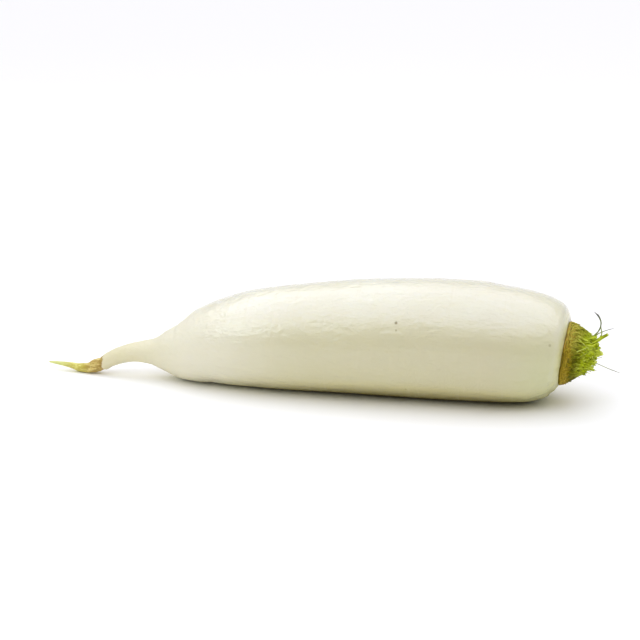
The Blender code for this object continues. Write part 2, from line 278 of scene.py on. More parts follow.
# The sky's colour, with its strength taken in, by the sine of the height above the horizon.
SKY = (
    (0.00, (0.60, 0.60, 0.60)),
    (0.15, (0.12, 0.12, 0.12)),
    (0.35, (0.03, 0.03, 0.03)),
    (0.55, (0.42, 0.46, 0.20)),
    (0.72, (1.66, 1.54, 1.42)),
    (0.87, (1.73, 1.77, 2.44)),
    (1.00, (1.18, 1.30, 1.18)),
)
FLOOR_SIZE = 12.0
FLOOR_DROP = 0.2 * MM
FLOOR_COLOUR = (0.95, 0.94, 0.91, 1.0)
CAMERA_ELEVATION = math.radians(18.0)
CAMERA_AZIMUTH = math.radians(9.69)
CAMERA_DISTANCE = 0.8725
CAMERA_AIM = Vector((-0.0031, 0.0, 0.0388))
CAMERA_LENS, CAMERA_SENSOR = 90.0, 36.0


# Curves and meshes


def smooth_through(at, known_at, known):
    """A curve through the known values that never overshoots them."""
    known_at, known = np.array(known_at, float), np.array(known, float)
    step = np.diff(known_at)
    rise = np.diff(known) / step
    slope = np.empty_like(known)
    slope[0], slope[-1] = rise[0], rise[-1]
    for i in range(1, len(known) - 1):
        same_way = rise[i - 1] * rise[i] > 0
        slope[i] = 2 * rise[i - 1] * rise[i] / (rise[i - 1] + rise[i]) if same_way else 0.0
    i = np.clip(np.searchsorted(known_at, at) - 1, 0, len(step) - 1)
    t = (at - known_at[i]) / step[i]
    return (
        known[i] * (1 + 2 * t) * (1 - t) ** 2
        + known[i + 1] * t * t * (3 - 2 * t)
        + slope[i] * step[i] * t * (1 - t) ** 2
        - slope[i + 1] * step[i] * t * t * (1 - t)
    )


def blend(pair, share):
    return pair[0] + (pair[1] - pair[0]) * share


def ramp(value, low, high):
    """0 below low, 1 above high, and smooth between."""
    t = np.clip((value - low) / (high - low), 0, 1)
    return t * t * (3 - 2 * t)


def rumple(points, size, seed=0.0):
    """Smooth noise from about -1 to 1 at each point, with bumps about this size across."""
    shift = Vector((seed, 2 * seed, -seed))
    return np.array([noise.noise(Vector(p) / size + shift) for p in points])


def mesh_object(name, vertices, faces, attributes):
    mesh = bpy.data.meshes.new(name)
    mesh.from_pydata([tuple(v) for v in vertices], [], faces)
    mesh.shade_smooth()
    for label, values in attributes.items():
        layer = mesh.attributes.new(label, "FLOAT", "POINT")
        layer.data.foreach_set("value", np.asarray(values, dtype=np.float32))
    made = bpy.data.objects.new(name, mesh)
    bpy.context.scene.collection.objects.link(made)
    return made


def grid_faces(rows, sides, first=0):
    """The faces of a closed tube of vertex rows, each with this many sides."""
    faces = []
    for row in range(rows - 1):
        a, b = first + row * sides, first + (row + 1) * sides
        faces.extend((a + k, a + (k + 1) % sides, b + (k + 1) % sides, b + k) for k in range(sides))
    return faces


def fan(first, sides, hub, at_foot=False):
    """The faces from one row of vertices to a single one that closes the tube, at its tip or its foot."""
    pairs = ((first + k, first + (k + 1) % sides) for k in range(sides))
    return [(b, a, hub) if at_foot else (a, b, hub) for a, b in pairs]


def caps(first, last, sides):
    """Flat faces that close a tube, at its tip and at its foot."""
    return [tuple(range(last, last + sides)), tuple(reversed(range(first, first + sides)))]


# The root's middle line and the crown's place


def swing(distance):
    tail = np.clip((TAIL_SWING_FROM - distance) / TAIL_SWING_FROM, 0, 1)
    crown = np.clip((distance - CROWN_SWING_FROM) / (ROOT_END - CROWN_SWING_FROM), 0, 1)
    return TAIL_SWING * tail**2 - CROWN_SWING * crown**2


def root_middle(at):
    """The middle of the root and its radius at these distances from the tip, in metres."""
    known_at, heights, radii = zip(*ROOT_STATIONS)
    lowered = smooth_through(at, (0, 60, 90, ROOT_END), (0, 0, 1, 1))
    z = smooth_through(at, known_at, heights) * MM - FLAT_DEPTH * lowered
    middle = np.column_stack([TIP_X + at * MM, swing(at) * MM, z])
    return middle, smooth_through(at, known_at, radii) * MM


def crown_stretch():
    """The last short stretch of the root's middle line, which the crown follows."""
    middle, _ = root_middle(np.array([ROOT_STATIONS[-2][0], ROOT_END]))
    return middle


def crown_matrix():
    """From the crown's own space, with Z out along its axis and X up, to the object's."""
    start, end = crown_stretch()
    out = Vector(end - start).normalized()
    near = out.cross(Vector((0, 0, 1))).normalized()
    turn = Matrix((near.cross(out), near, out)).transposed().to_4x4()
    lean = Matrix.Identity(4)
    lean[0][2] = CROWN_LEAN
    return Matrix.Translation(end) @ turn @ Matrix.Translation((-CROWN_DROP, 0, 0)) @ lean


def crown_point(out, up, near):
    return Vector((up, near, out)) * MM


# Materials


class Nodes:
    """A node tree that is built by calls: each makes one node and gives back the output asked for."""

    def __init__(self, name):
        self.material = bpy.data.materials.new(name)
        self.material.use_nodes = True
        self.tree = self.material.node_tree
        self.shader = self.tree.nodes["Principled BSDF"]

    def add(self, kind, inputs=None, output=0, **settings):
        node = self.tree.nodes.new("ShaderNode" + kind)
        for key, value in settings.items():
            setattr(node, key, value)
        self.feed(node, inputs or {})
        return node.outputs[output]

    def feed(self, node, inputs):
        for key, value in inputs.items():
            if isinstance(value, bpy.types.NodeSocket):
                self.tree.links.new(value, node.inputs[key])
            else:
                node.inputs[key].default_value = value

    def place(self):
        return self.add("TexCoord", output="Object")

    def mapped(self, vector, **inputs):
        return self.add("Mapping", {"Vector": vector, **inputs})

    def noise(self, vector, scale, detail=3.0, roughness=0.5, distortion=0.0):
        inputs = {"Vector": vector, "Scale": scale, "Detail": detail}
        inputs.update({"Roughness": roughness, "Distortion": distortion})
        return self.add("TexNoise", inputs)

    def between(self, value, low, high, to_low=0.0, to_high=1.0):
        """A smooth ramp from to_low to to_high, rising or falling as low is under or over high."""
        return self.add(
            "MapRange",
            {"Value": value, "From Min": low, "From Max": high, "To Min": to_low, "To Max": to_high},
            interpolation_type="SMOOTHSTEP",
        )

    def mix(self, factor, first, second):
        return self.add("Mix", {0: factor, 6: first, 7: second}, 2, data_type="RGBA")

    def fade(self, factor, first, second):
        return self.add("Mix", {0: factor, 2: first, 3: second}, 0)

    def maths(self, operation, first, second):
        return self.add("Math", {0: first, 1: second}, operation=operation)

    def times(self, first, second):
        return self.maths("MULTIPLY", first, second)

    def shaken(self, value, texture, span):
        """The value, moved up or down by a texture from 0 to 1 over this span."""
        return self.maths("ADD", value, self.times(self.maths("SUBTRACT", texture, 0.5), span))

    def attribute(self, name):
        return self.add("Attribute", output="Fac", attribute_name=name)

    def bump(self, height, strength, distance, normal=None):
        inputs = {"Height": height, "Strength": strength, "Distance": distance}
        if normal is not None:
            inputs["Normal"] = normal
        return self.add("Bump", inputs)

    def finish(self, **inputs):
        self.feed(self.shader, {key.replace("_", " "): value for key, value in inputs.items()})
        return self.material


def rgb(red, green, blue):
    """A colour from 0 to 255 as it is seen, in the linear form that sockets take."""

    def linear(value):
        share = value / 255
        return share / 12.92 if share <= 0.04045 else ((share + 0.055) / 1.055) ** 2.4

    return (linear(red), linear(green), linear(blue), 1.0)


def from_tip(distance):
    """The place along X this many millimetres from the tip of the tail."""
    return TIP_X + distance * MM


def body_colour(n, place, along, lift, hoops):
    """Pale skin with painted shade: more buff below, yellower low down, and dark olive along the strip it
    rests on.
    """
    broad = n.noise(place, 22.0)
    colour = n.mix(n.between(broad, 0.35, 0.65), rgb(225, 221, 199), rgb(229, 227, 208))
    # Painted shade: buff over the lower side, standing in for the dimmer light there; towards the tail it
    # fades back to pale skin.
    colour = n.mix(n.between(lift, 0.95, 0.15), colour, rgb(203, 197, 162))
    colour = n.mix(n.between(lift, 0.0, -0.5), colour, rgb(207, 201, 162))
    colour = n.mix(n.between(along, 0.0, -0.08, 0.0, 0.8), colour, rgb(226, 221, 201))
    # Painted shade under the body where it rests on the floor, less towards the lifted tail: yellower low
    # down, then dark olive along the resting strip.
    belly = n.between(along, -0.09, 0.03, 0.15, 1.0)
    underside_shade = n.times(belly, n.between(lift, -0.42, -0.80, 0.0, 0.7))
    colour = n.mix(underside_shade, colour, rgb(207, 196, 116))
    contact_shade = n.times(belly, n.between(lift, -0.55, -0.96, 0.0, 0.85))
    colour = n.mix(contact_shade, colour, rgb(98, 82, 6))
    return n.mix(n.between(hoops, 0.55, 0.80, 0.0, 0.22), colour, rgb(214, 206, 172))


def crown_colour(n, place, lift, colour):
    """Greener towards the crown, yellow beside it, brown at the torn edge, and a painted shade along that
    edge on the upper side.
    """
    crown = crown_matrix()
    axis = crown.to_3x3().inverted().row[2].normalized()
    to_crown = n.add("VectorMath", {0: place, 1: tuple(axis)}, "Value", operation="DOT_PRODUCT")
    to_crown = n.maths("SUBTRACT", to_crown, crown.translation.dot(axis))
    green = n.times(n.between(to_crown, -0.036, -0.002, 0.0, 0.4), n.between(lift, 0.7, -0.2, 0.3, 1.0))
    colour = n.mix(green, colour, rgb(202, 210, 152))
    torn = n.shaken(to_crown, n.noise(place, 420.0, 3.0, 0.6), 0.6 * MM)
    colour = n.mix(n.between(torn, -0.0034, -0.0006, 0.0, 0.5), colour, rgb(202, 198, 118))
    colour = n.mix(n.between(torn, -0.0004, 0.0001, 0.0, 0.6), colour, rgb(150, 130, 46))
    # Painted shade: a thin dark line along the torn edge on the upper side, where the skin meets the
    # collar.
    rim = n.times(n.between(torn, -0.0009, -0.0002, 0.0, 0.7), n.between(lift, 0.84, 0.98))
    return n.mix(rim, colour, rgb(116, 112, 50))


def tail_colour(n, place, along, colour):
    """Yellower along the tail, dry with ragged edges where it is rubbed, then the slender green end."""
    yellow = n.between(along, from_tip(95), from_tip(36), 0.0, 0.7)
    colour = n.mix(yellow, colour, rgb(210, 202, 160))
    ragged = n.shaken(along, n.noise(place, 260.0, 4.0, 0.7), 5 * MM)
    wrinkles = n.noise(n.mapped(place, Scale=(150.0, 600.0, 600.0)), 1.0, 4.0, 0.65, 0.6)
    dry = n.between(ragged, from_tip(33.6), from_tip(32.8))
    dry_colour = n.mix(n.between(wrinkles, 0.36, 0.62), rgb(158, 128, 50), rgb(212, 192, 116))
    dry_edge = n.between(ragged, from_tip(30.8), from_tip(32.8), 0.0, 0.6)
    dry_colour = n.mix(dry_edge, dry_colour, rgb(134, 100, 28))
    colour = n.mix(dry, colour, dry_colour)
    slender = n.between(ragged, from_tip(26.5), from_tip(19))
    slender_colour = n.mix(n.between(wrinkles, 0.4, 0.65), rgb(186, 172, 68), rgb(220, 214, 126))
    colour = n.mix(slender, colour, slender_colour)
    colour = n.mix(n.between(ragged, from_tip(16), from_tip(5)), colour, rgb(200, 204, 128))
    return colour, dry


def pitted(n, place, colour):
    for spot, radius, darkness in PITS:
        centre = tuple(v * MM for v in spot)
        away = n.add("VectorMath", {0: place, 1: centre}, "Value", operation="DISTANCE")
        dark = n.between(away, radius * MM * 1.6, radius * MM * 0.3, 0.0, darkness)
        colour = n.mix(dark, colour, rgb(112, 96, 24))
    return colour


def skin_normal(n, place, hoops):
    """Hoops round the root, grain along it, a fine crinkle, and ripples."""
    grain = n.noise(n.mapped(place, Scale=(110.0, 480.0, 480.0)), 1.0, 3.0, 0.6, 0.4)
    crinkle = n.noise(place, 330.0, 3.0, 0.55, 0.5)
    ripples = n.noise(n.mapped(place, Scale=(95.0, 170.0, 170.0)), 1.0, 2.0, 0.5, 0.6)
    normal = n.bump(hoops, 0.15, 0.6 * MM)
    normal = n.bump(grain, 0.8, 0.4 * MM, normal)
    normal = n.bump(crinkle, 0.8, 0.4 * MM, normal)
    return n.bump(ripples, 0.6, 1.0 * MM, normal)


def skin_material():
    n = Nodes("radish_skin_fine")
    place = n.place()
    along = n.add("SeparateXYZ", {"Vector": place}, "X")
    lift = n.attribute("lift")
    hoops = n.noise(n.mapped(place, Scale=(420.0, 26.0, 26.0)), 1.0, 3.0, 0.6)
    colour = body_colour(n, place, along, lift, hoops)
    colour = crown_colour(n, place, lift, colour)
    colour, dry = tail_colour(n, place, along, colour)
    colour = pitted(n, place, colour)
    # The tail and the underside aren't glossy.
    matt = n.maths("MAXIMUM", dry, n.between(along, from_tip(105), from_tip(80)))
    matt = n.maths("MAXIMUM", matt, n.between(lift, -0.72, -0.92))
    roughness = n.between(n.noise(place, 160.0, 4.0, 0.6), 0.3, 0.7, 0.34, 0.44)
    normal = skin_normal(n, place, hoops)
    return n.finish(
        Base_Color=colour,
        Roughness=n.fade(matt, roughness, 0.6),
        IOR=1.42,
        Specular_IOR_Level=0.5,
        Subsurface_Weight=0.3,
        Subsurface_Radius=(1.0, 0.85, 0.5),
        Subsurface_Scale=0.004,
        Coat_Weight=n.fade(matt, 1.0, 0.15),
        Coat_Roughness=0.17,
        Coat_Normal=normal,
        Normal=normal,
    )


def cork_material():
    n = Nodes("radish_cork_fine")
    height, tint, lift = n.attribute("height"), n.attribute("tint"), n.attribute("lift")
    ring = n.add("CombineXYZ", {"X": height, "Y": n.attribute("round")})
    place = n.place()
    mottle = n.noise(place, 350.0, 3.0, 0.6)
    height = n.maths("ADD", height, n.between(mottle, 0.3, 0.7, -0.25, 0.25))
    streaks = n.noise(n.mapped(ring, Scale=(8.0, 2.0, 1.0)), 1.0, 4.0, 0.62, 0.5)
    threads = n.noise(n.mapped(ring, Scale=(20.0, 5.0, 1.0)), 1.0, 3.0, 0.6, 0.5)
    fine = n.noise(place, 900.0, 4.0, 0.65)
    broad = n.noise(place, 200.0)
    colour = n.mix(n.between(streaks, 0.38, 0.62), rgb(132, 112, 8), rgb(184, 158, 50))
    colour = n.mix(n.between(threads, 0.56, 0.72, 0.0, 0.7), colour, rgb(84, 76, 2))
    colour = n.mix(n.between(height, 0.22, 0.0, 0.0, 0.45), colour, rgb(148, 122, 28))
    colour = n.mix(n.between(tint, 0.6, 1.0, 0.0, 0.4), colour, rgb(150, 126, 20))
    colour = n.mix(n.between(broad, 0.5, 0.7, 0.0, 0.4), colour, rgb(118, 120, 6))
    # On the upper side the ring's foot is more orange, and the rest is flecked with pale yellow; this also
    # paints the whole upper side a little paler, as painted light.
    foot = n.times(n.between(height, 0.30, 0.0), n.between(lift, 0.1, 0.8))
    colour = n.mix(n.times(foot, 0.7), colour, rgb(192, 140, 66))
    flecks_and_painted_light = n.times(n.between(lift, 0.35, 0.95), n.between(fine, 0.42, 0.6, 0.2, 0.95))
    colour = n.mix(flecks_and_painted_light, colour, rgb(192, 184, 82))
    colour = n.mix(n.between(height, 0.6, 1.0, 0.0, 0.75), colour, rgb(112, 112, 2))
    # Painted shade in the hollows between the scars.
    colour = n.mix(n.between(n.attribute("scar_hollow_shade"), 0.3, 1.0, 0.0, 0.6), colour, rgb(78, 70, 4))
    normal = n.bump(streaks, 0.5, 0.6 * MM)
    normal = n.bump(threads, 0.4, 0.3 * MM, normal)
    normal = n.bump(fine, 0.3, 0.3 * MM, normal)
    roughness = n.between(fine, 0.3, 0.7, 0.6, 0.85)
    return n.finish(Base_Color=colour, Roughness=roughness, Normal=normal, Specular_IOR_Level=0.15)


def stalk_material():
    n = Nodes("radish_stalk_fine")
    along, tint, cut, rise, edge, dry = (
        n.attribute(name) for name in ("along", "tint", "cut", "rise", "edge", "dry")
    )
    place = n.place()
    fine = n.noise(place, 800.0, 4.0, 0.6)
    patch = n.noise(place, 300.0, 3.0, 0.55)
    mottle = n.noise(place, 420.0, 3.0, 0.6)
    rise = n.maths("ADD", rise, n.between(mottle, 0.3, 0.7, -0.12, 0.12))
    # Corky at the foot of the bunch, then dark olive, then yellow-green towards the tips.
    colour = n.mix(n.between(rise, 0.04, 0.30), rgb(158, 134, 26), rgb(118, 112, 0))
    upper = n.between(n.attribute("lift"), 0.1, 0.8)
    # Painted shade: a dark olive band low on the bunch, at half strength on the lower side and none on the
    # upper side.
    band_shade = n.times(n.between(rise, 0.20, 0.32), n.between(rise, 0.62, 0.42))
    band_shade = n.times(band_shade, n.maths("SUBTRACT", 0.5, n.times(upper, 0.5)))
    colour = n.mix(band_shade, colour, rgb(84, 88, 0))
    # Painted light: low on the bunch, its upper side is painted paler yellow.
    pale = n.times(upper, n.between(rise, 0.6, 0.2, 0.0, 0.75))
    colour = n.mix(pale, colour, rgb(190, 186, 74))
    fresh = n.times(n.between(rise, 0.25, 0.75), n.between(along, 0.0, 0.9, 0.3, 1.0))
    colour = n.mix(fresh, colour, rgb(170, 186, 10))
    bright = n.times(n.between(tint, 0.25, 1.0), n.between(along, 0.1, 0.9, 0.2, 1.0))
    colour = n.mix(bright, colour, rgb(216, 228, 92))
    colour = n.mix(n.between(patch, 0.52, 0.72, 0.0, 0.5), colour, rgb(98, 102, 0))
    colour = n.mix(n.between(fine, 0.60, 0.8, 0.0, 0.35), colour, rgb(198, 206, 60))
    veins = n.times(n.between(edge, 0.55, 1.0, 0.0, 0.45), n.between(rise, 0.2, 0.6))
    colour = n.mix(veins, colour, rgb(212, 220, 80))
    dry_tip = n.times(dry, n.between(along, 0.72, 0.95, 0.0, 0.85))
    colour = n.mix(dry_tip, colour, rgb(98, 96, 24))
    rim = n.times(n.between(cut, 0.35, 0.75), n.between(tint, 0.0, 1.0, 0.4, 0.8))
    colour = n.mix(rim, colour, rgb(210, 216, 124))
    colour = n.mix(n.between(cut, 0.9, 1.0, 0.0, 0.4), colour, rgb(118, 116, 30))
    return n.finish(
        Base_Color=colour,
        Roughness=0.55,
        IOR=1.4,
        Specular_IOR_Level=0.15,
        Subsurface_Weight=0.25,
        Subsurface_Radius=(0.9, 1.0, 0.2),
        Subsurface_Scale=0.0012,
        Normal=n.bump(fine, 0.35, 0.4 * MM),
    )


def fibre_material():
    n = Nodes("radish_fibre_fine")
    along, dry = n.attribute("along"), n.attribute("dry")
    speckle = n.noise(n.place(), 900.0, 2.0)
    colour = n.mix(n.between(speckle, 0.4, 0.6), rgb(160, 176, 36), rgb(190, 202, 84))
    colour = n.mix(n.times(dry, n.between(along, 0.0, 0.5)), colour, rgb(104, 116, 54))
    colour = n.mix(n.times(dry, n.between(along, 0.6, 0.92)), colour, rgb(60, 62, 38))
    return n.finish(Base_Color=colour, Roughness=0.5, Subsurface_Weight=0.1, Subsurface_Scale=0.001)


# The root


def lump(x, angle):
    """How far the skin stands off round, from -1 to 1, by the place along X in metres and the angle."""
    wave = 2 * math.pi * x
    return (
        0.5 * np.sin(2 * angle + wave / 0.19)
        + 0.3 * np.sin(3 * angle - wave / 0.11 + 1.3)
        + 0.2 * np.sin(angle + wave / 0.055 + 0.4)
    )


def root_rings():
    """Distances of the root's rings, closer together where its shape turns quickly."""
    at = [0.0]
    for start, end, step in RING_STRETCHES:
        pieces = math.ceil((end - start) / step)
        at.extend(start + (end - start) * (k + 1) / pieces for k in range(pieces))
    return np.array(at)


def skin_relief(points, d, theta):
    """How far each point stands out, in mm, by its distance from the tip and its angle from the top."""
    body = ramp(d, 60, 100) * (1 - ramp(d, 276, 289))
    relief = body * (0.16 * rumple(points, 0.026, 3.0) + 0.05 * rumple(points, 0.008, 8.0))
    tail = ramp(d, 26, 40) * (1 - ramp(d, 64, 84))
    relief += tail * 0.12 * rumple(points, 0.006, 5.0)
    creases = np.sin(d * 2.1 + 1.4 * rumple(points, 0.004, 1.0) + 0.6 * np.sin(theta))
    relief += tail * 0.045 * creases
    pleats = ramp(d, 281, 287.5) * (1 - ramp(d, 289, ROOT_END))
    around = np.column_stack([np.cos(theta), np.sin(theta), d * 0.02])
    relief += pleats * 0.28 * rumple(around, 0.22, 2.0)
    dry = ramp(d, 17, 24) * (1 - ramp(d, 31.5, 32.5))
    relief += dry * 0.28 * rumple(points, 0.0022, 4.0)
    wisp = 1 - ramp(d, 16, 26)
    relief += wisp * 0.10 * rumple(points, 0.003, 6.0)
    upper = ramp(np.cos(theta), 0.1, 0.9)
    for amount, start, full, fade, end in OUTLINE_SWELLS:
        relief += amount * ramp(d, start, full) * (1 - ramp(d, fade, end)) * upper
    # A flap of dry skin lies slanting across the near side of the tail.
    across_flap = d - (26.0 - 2.2 * (theta - math.pi / 2))
    flap = np.exp(-((across_flap / 1.3) ** 2)) * np.exp(-(((theta - 1.75) / 0.7) ** 2))
    return relief + 0.55 * flap


def make_root():
    at = root_rings()
    middle, radius = root_middle(at)
    tangent = np.gradient(middle, at, axis=0)
    start, end = crown_stretch()
    tangent[-1] = end - start
    tangent /= np.linalg.norm(tangent, axis=1)[:, None]
    near = np.cross(tangent, (0, 0, 1))
    near /= np.linalg.norm(near, axis=1)[:, None]
    up = np.cross(near, tangent)
    angle = np.arange(ROOT_SIDES) * 2 * math.pi / ROOT_SIDES
    out = up[:, None, :] * np.cos(angle)[None, :, None] + near[:, None, :] * np.sin(angle)[None, :, None]
    points = middle[:, None, :] + out * radius[:, None, None]

    x = np.clip(points[:, :, 0], middle[0, 0], middle[-1, 0])
    y0, z0 = (np.interp(x, middle[:, 0], middle[:, axis]) for axis in (1, 2))
    fade = np.minimum(1.0, (middle[-1, 0] - x) / LUMPS_FADE)
    turn = np.arctan2(points[:, :, 1] - y0, points[:, :, 2] - z0)
    offset = LUMP_SHARE * fade * lump(points[:, :, 0], turn) * radius[:, None]

    points = points.reshape(-1, 3)
    theta = np.tile(angle, len(at))
    offset = offset.reshape(-1) + skin_relief(points, np.repeat(at, ROOT_SIDES), theta) * MM
    points = points + out.reshape(-1, 3) * offset[:, None]
    points[:, 2] = np.maximum(points[:, 2], 0.0)

    # The ends close over: a rounded tip, and the face that the collar sits on.
    vertices = [*points, middle[0] - tangent[0] * TIP_ROUNDING, middle[-1]]
    tip, crown = len(points), len(points) + 1
    faces = grid_faces(len(at), ROOT_SIDES)
    faces.extend(fan(0, ROOT_SIDES, tip, at_foot=True))
    faces.extend(fan((len(at) - 1) * ROOT_SIDES, ROOT_SIDES, crown))
    lift = np.append(np.cos(theta), (0.0, 0.0))
    root = mesh_object("root_fine", vertices, faces, {"lift": lift})
    root.data.materials.append(skin_material())
    return root


# The collar


def collar_radius(height):
    """The corky ring's outline by the height above its foot, in metres."""
    share = np.clip(height / COLLAR_HEIGHT, 0, 1)
    return blend((COLLAR_BASE_RADIUS, COLLAR_TOP_RADIUS), share**COLLAR_BULGE)


def collar_scars(level, angle, wander):
    """Crescent leaf scars that overlap in a spiral: how far each point stands out, and its scar's shade."""
    draw = random.Random(5)
    ridge, tint = np.zeros_like(level), np.zeros_like(level)
    for k in range(COLLAR_SCARS):
        centre = k * GOLDEN_ANGLE + draw.uniform(-0.3, 0.3)
        foot = blend((-0.6 * MM, COLLAR_HEIGHT - 0.6 * MM), (k + 0.5) / COLLAR_SCARS)
        half_width, depth = draw.uniform(0.28, 0.65), MM * draw.uniform(0.9, 1.6)
        shade, proud = draw.random(), MM * draw.uniform(0.22, 0.48)
        across = (np.mod(angle - centre + math.pi, 2 * math.pi) - math.pi) / half_width
        inside = np.clip(1 - across**2, 0, 1)
        up = (level + wander - foot - 0.7 * MM * across**2) / depth
        lip = ramp(up, 0.0, 0.12) * (1 - ramp(up, 0.25, 1.0)) * np.sqrt(inside)
        tint = np.where(lip * proud > ridge, shade, tint)
        ridge = np.maximum(ridge, lip * proud)
    return ridge, tint


def make_collar(place):
    """The corky ring, whose upper half is sunk a little, because the scales cover it."""
    rows, sides = 56, 420
    low, high = -COLLAR_OVERLAP, COLLAR_HEIGHT + COLLAR_OVERLAP
    turns = np.arange(sides) * 2 * math.pi / sides
    level, angle = np.meshgrid(np.linspace(low, high, rows), turns, indexing="ij")
    level, angle = level.ravel(), angle.ravel()
    circle = np.column_stack([np.cos(angle), np.sin(angle)])
    wander = 0.35 * MM * rumple(np.column_stack([circle * 3, level / MM * 0.3]), 1.0, 1.0)
    ridge, tint = collar_scars(level, angle, wander)
    threads = rumple(np.column_stack([circle * 5.5, level / MM * 2.6]), 1.0, 2.0)
    crumbs = rumple(np.column_stack([circle * 26, level / MM * 1.8]), 1.0, 3.0)
    sunk = ramp(level, 0.5 * COLLAR_HEIGHT, COLLAR_HEIGHT) * 1.1 * MM
    radius = collar_radius(level) - 0.35 * MM + ridge - sunk + (0.13 * threads + 0.10 * crumbs) * MM
    points = np.column_stack([circle[:, 0] * radius, circle[:, 1] * radius, level + PIECE_GAP])
    vertices = [place @ Vector(v) for v in points]
    vertices.extend(place @ Vector((0, 0, height + PIECE_GAP)) for height in (low, high))
    faces = grid_faces(rows, sides)
    faces.extend(fan(0, sides, rows * sides, at_foot=True))
    faces.extend(fan((rows - 1) * sides, sides, rows * sides + 1))
    attributes = {
        "height": np.clip(level / COLLAR_HEIGHT, 0, 1),
        "round": angle / (2 * math.pi) * CORK_STRIP,
        "lift": np.cos(angle),
        "tint": tint,
        # How far each point lies down in the hollows between the scars, for the painted shade there.
        "scar_hollow_shade": 1 - np.clip(ridge / (0.3 * MM), 0, 1),
    }
    attributes = {name: np.append(values, (0.5, 0.5)) for name, values in attributes.items()}
    collar = mesh_object("collar_fine", vertices, faces, attributes)
    collar.data.materials.append(cork_material())
    return collar


# The leaf stalks


class Bunch:
    """Collects stalks and shreds, and the mound they stand on, into one mesh with its attributes."""

    names = ("along", "tint", "cut", "rise", "edge", "dry", "lift")

    def __init__(self):
        self.vertices, self.faces = [], []
        self.attributes = {name: [] for name in self.names}

    def point(self, place, along, tint, cut, edge=0.0, dry=0.0):
        lift = place.x / max(place.to_2d().length, MM)
        rise = (place.z - RISE_FROM) / RISE_SPAN
        for name, value in zip(self.names, (along, tint, cut, rise, edge, dry, lift)):
            self.attributes[name].append(value)
        self.vertices.append(place)
        return len(self.vertices) - 1

    def stalk(
        self, foot, tip, width, flatness, taper, bow, slant, tint, ribs, twist, dry=0.0, rings=9, sides=14
    ):
        """An oval, ribbed stalk that ends in a slanting cut with a sunken middle."""
        along = tip - foot
        z = along.normalized()
        away = Vector((foot.x + tip.x, foot.y + tip.y, 0.0))
        y = z.cross(away if away.length > 0.001 else Vector((1, 0, 0))).normalized()
        x = y.cross(z)
        first = len(self.vertices)
        for row in range(rings):
            share = row / (rings - 1)
            size = width / 2 * blend((1.0, taper), share) * (1 + 0.05 * math.sin(9 * share + twist))
            middle = foot + along * share + x * bow * 4 * share * (1 - share)
            for k in range(sides):
                angle = 2 * math.pi * k / sides
                fluted = 1 + 0.09 * math.cos(ribs * angle + twist) * ramp(share, 0.0, 0.3)
                px = math.cos(angle) * size * flatness * fluted
                py = math.sin(angle) * size * fluted
                cut_back = slant * (px * math.cos(twist) + py * math.sin(twist)) * ramp(share, 0.75, 1.0)
                self.point(middle + x * px + y * py + z * cut_back, share, tint, 0.0, 0.0, dry)
        self.faces.extend(grid_faces(rings, sides, first))
        self.cut_end(first + (rings - 1) * sides, sides, width, z, tint)
        # The foot is inside the mound, and closed.
        self.faces.extend(fan(first, sides, self.point(foot, 0.0, tint, 0.0), at_foot=True))

    def cut_end(self, last, sides, width, z, tint):
        """The cut: a thin rim, then a slightly sunken middle."""
        ring = self.vertices[last : last + sides]
        centre = sum(ring, Vector()) / sides
        sunk = z * width * 0.05
        inner = [self.point(centre + (place - centre) * 0.72 - sunk, 1.0, tint, 0.8) for place in ring]
        hub = self.point(centre - z * width * 0.10, 1.0, tint, 1.0)
        for k in range(sides):
            after = (k + 1) % sides
            self.faces.append((last + k, last + after, inner[after], inner[k]))
            self.faces.append((inner[k], inner[after], hub))

    def blade(self, foot, tip, width, thickness, out, curl, tint, blunt=0.08, dry=0.0, rings=6):
        """A thin, flat shred that narrows towards its torn tip and curls outward."""
        along = tip - foot
        z = along.normalized()
        y = z.cross(out)
        if y.length < 0.01:
            y = z.cross(Vector((0.3, 1, 0)))
        y.normalize()
        x = y.cross(z)
        first = len(self.vertices)
        sides = 6
        for row in range(rings):
            share = row / (rings - 1)
            size = (1 - (1 - blunt) * share**1.4) * (0.8 + 0.8 * share * (1 - share))
            middle = foot + along * share - x * curl * share**2
            for k in range(sides):
                angle = 2 * math.pi * k / sides
                torn = z * width * 0.5 * math.sin(angle) * blunt * (row == rings - 1)
                across = y * math.sin(angle) * width / 2 * size
                place = middle + x * math.cos(angle) * thickness / 2 * size + across + torn
                self.point(place, share, tint, 0.0, abs(math.sin(angle)), dry)
        self.faces.extend(grid_faces(rings, sides, first))
        self.faces.extend(caps(first, first + (rings - 1) * sides, sides))


def flank_radius(height):
    """How far out the slope of the bunch is at this height above its foot, in metres."""
    return float(np.interp(height / MM, *zip(*FLANK))) * MM


def dome_height(radius):
    """The height of the mound's own surface, under the stalks, at this distance from its axis."""
    return DOME_HEIGHT * (1 - min(radius / DOME_RADIUS, 1.0) ** 2.4)


def spiral(k, spread, draw):
    """The next direction round the axis on a spiral, turned at random by up to this spread."""
    angle = k * GOLDEN_ANGLE + draw.uniform(-spread, spread)
    return Vector((math.cos(angle), math.sin(angle), 0))


def beside(radial):
    return Vector((-radial.y, radial.x, 0))


